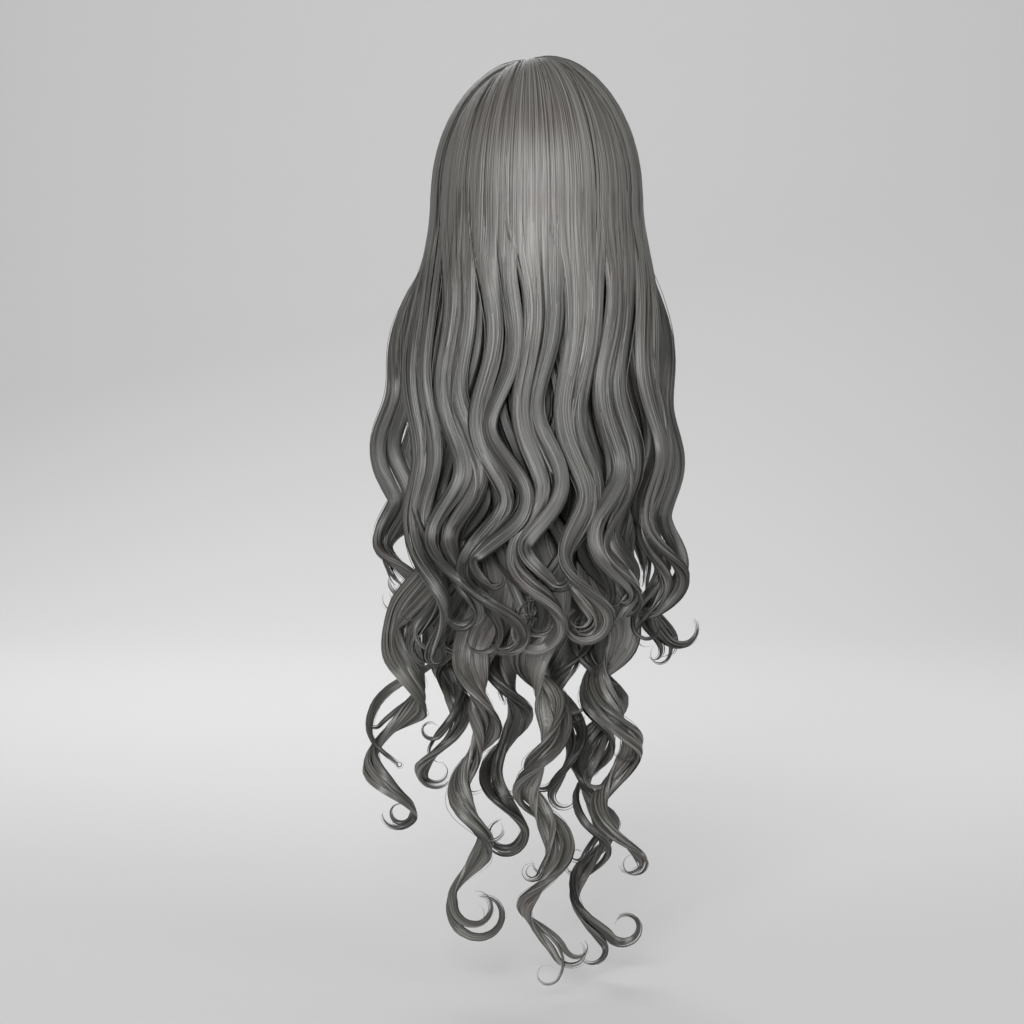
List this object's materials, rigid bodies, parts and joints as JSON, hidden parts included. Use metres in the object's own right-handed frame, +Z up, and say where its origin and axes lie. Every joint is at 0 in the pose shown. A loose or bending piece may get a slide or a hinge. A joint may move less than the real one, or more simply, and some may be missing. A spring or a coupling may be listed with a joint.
{
  "type": "long curly wig",
  "caption": "Long grey wig: a hollow cap with waved locks from the crown and parting over a lower tier of long coiled ringlets; worn on the head.",
  "frame": {"origin": "middle of the opening that the head goes into, level with the brow", "axes": "+Z up along the head's axis, -Y the way the wearer faces, +X the wearer's left"},
  "size_m": [0.3311, 0.3174, 0.9577],
  "materials": {
    "hair": "fine grey synthetic fibre with a soft sheen along its length",
    "cap_net": "dark grey stretch net"
  },
  "bodies": {
    "root": {"wig_cap": "cap_net", "crown_lock_1": "hair", "crown_lock_2": "hair", "crown_lock_3": "hair", "crown_lock_4": "hair", "crown_lock_5": "hair", "left_back_lock": "hair", "left_shoulder_lock": "hair", "left_ear_lock": "hair", "left_front_lock": "hair", "right_back_lock": "hair", "right_shoulder_lock": "hair", "right_ear_lock": "hair", "right_front_lock": "hair", "middle_lock_1": "hair", "middle_lock_2": "hair", "middle_lock_3": "hair", "middle_lock_4": "hair", "middle_lock_5": "hair", "middle_lock_6": "hair", "near_ringlet_1": "hair", "near_ringlet_2": "hair", "near_ringlet_3": "hair", "near_ringlet_4": "hair", "far_ringlet_1": "hair", "far_ringlet_2": "hair", "far_ringlet_3": "hair", "far_ringlet_4": "hair"}
  },
  "joints": []
}
